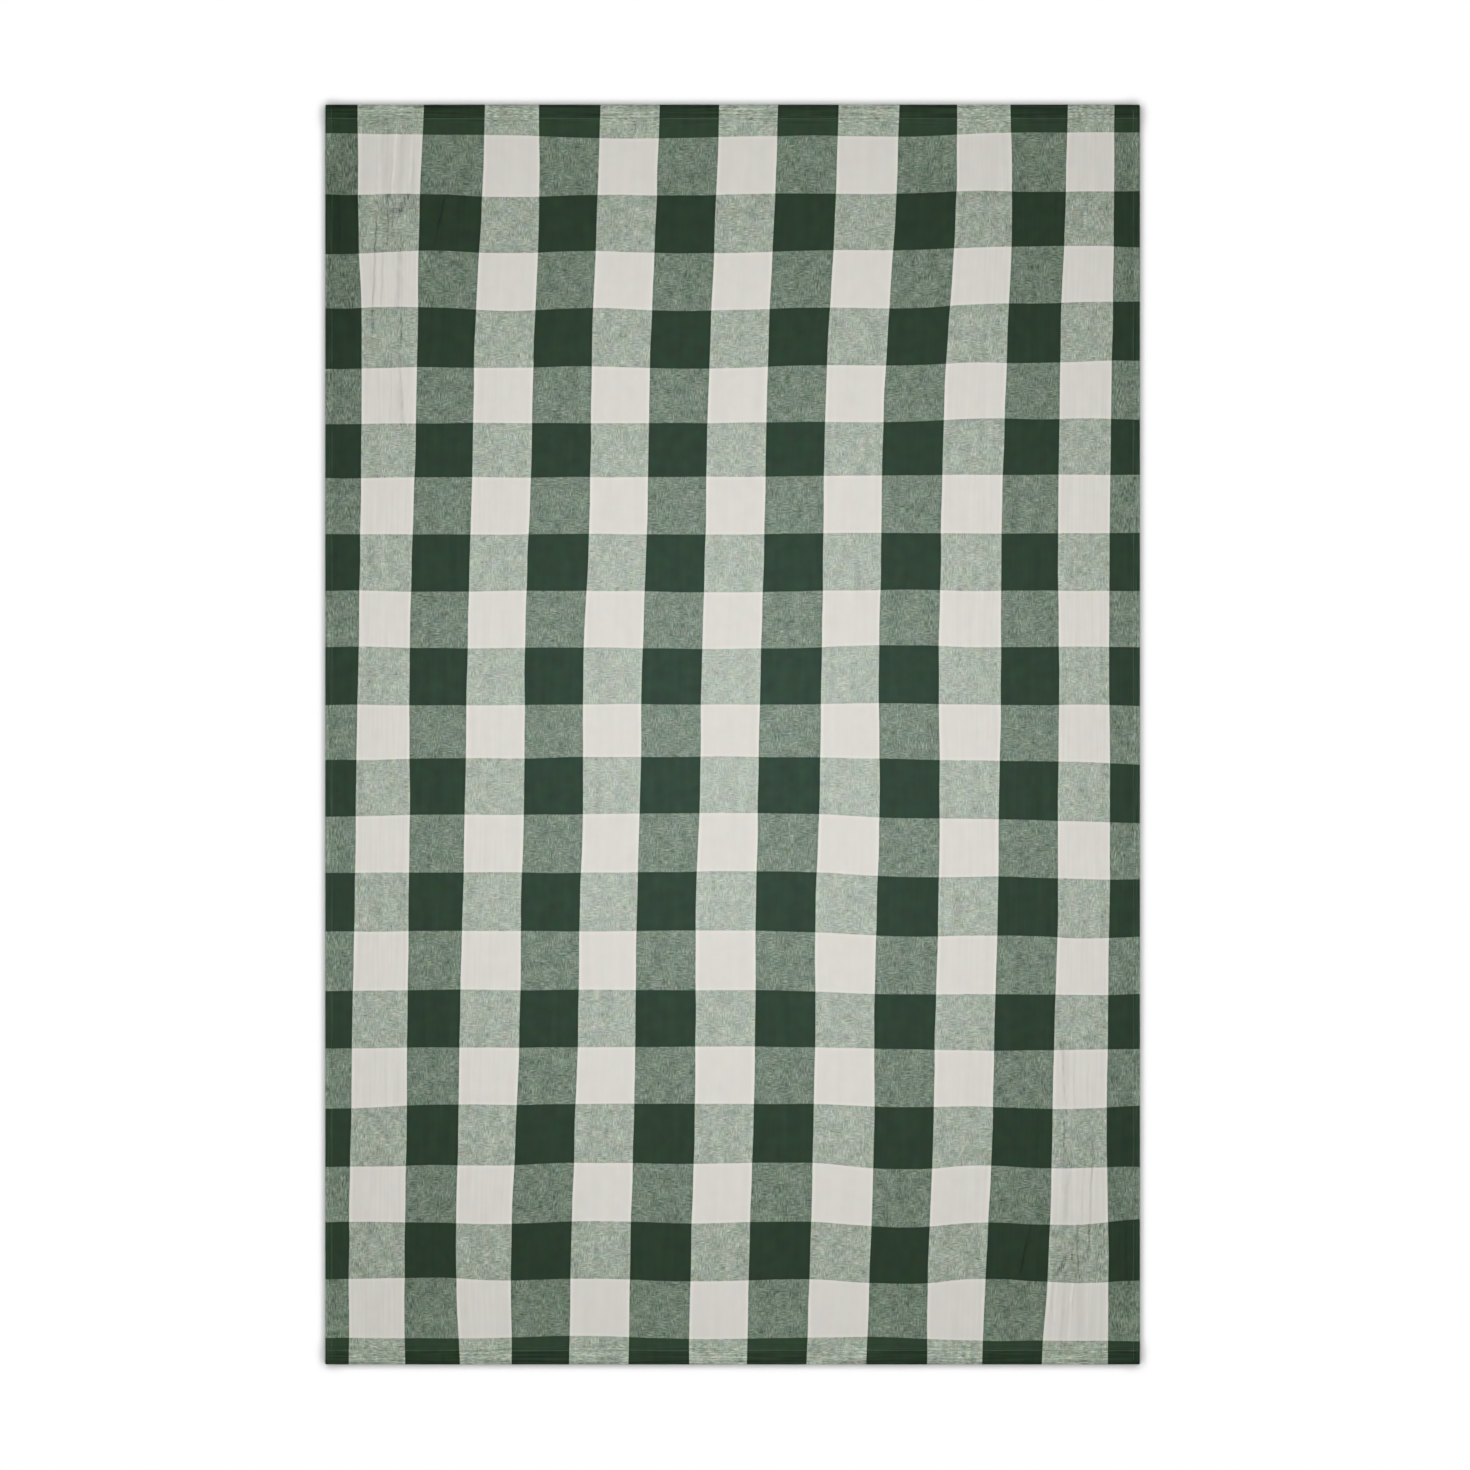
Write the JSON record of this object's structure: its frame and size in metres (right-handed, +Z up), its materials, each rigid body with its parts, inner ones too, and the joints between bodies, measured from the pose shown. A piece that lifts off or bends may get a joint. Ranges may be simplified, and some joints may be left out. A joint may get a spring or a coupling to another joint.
{
  "type": "tablecloth",
  "caption": "Flat rectangular table cover woven in a large green and off-white check, with a double-turned hem on every side.",
  "frame": {"origin": "under the middle of the cloth, on the surface that it lies on", "axes": "+X across the cloth, +Y along it, +Z up out of its face"},
  "size_m": [1.422, 2.2, 0.0046],
  "materials": {
    "check_cotton": "matt slubby plain weave, dark green and off-white check",
    "sewing_thread": "matt twisted sewing thread, mid green"
  },
  "bodies": {
    "root": {"tablecloth": "check_cotton"}
  },
  "joints": []
}
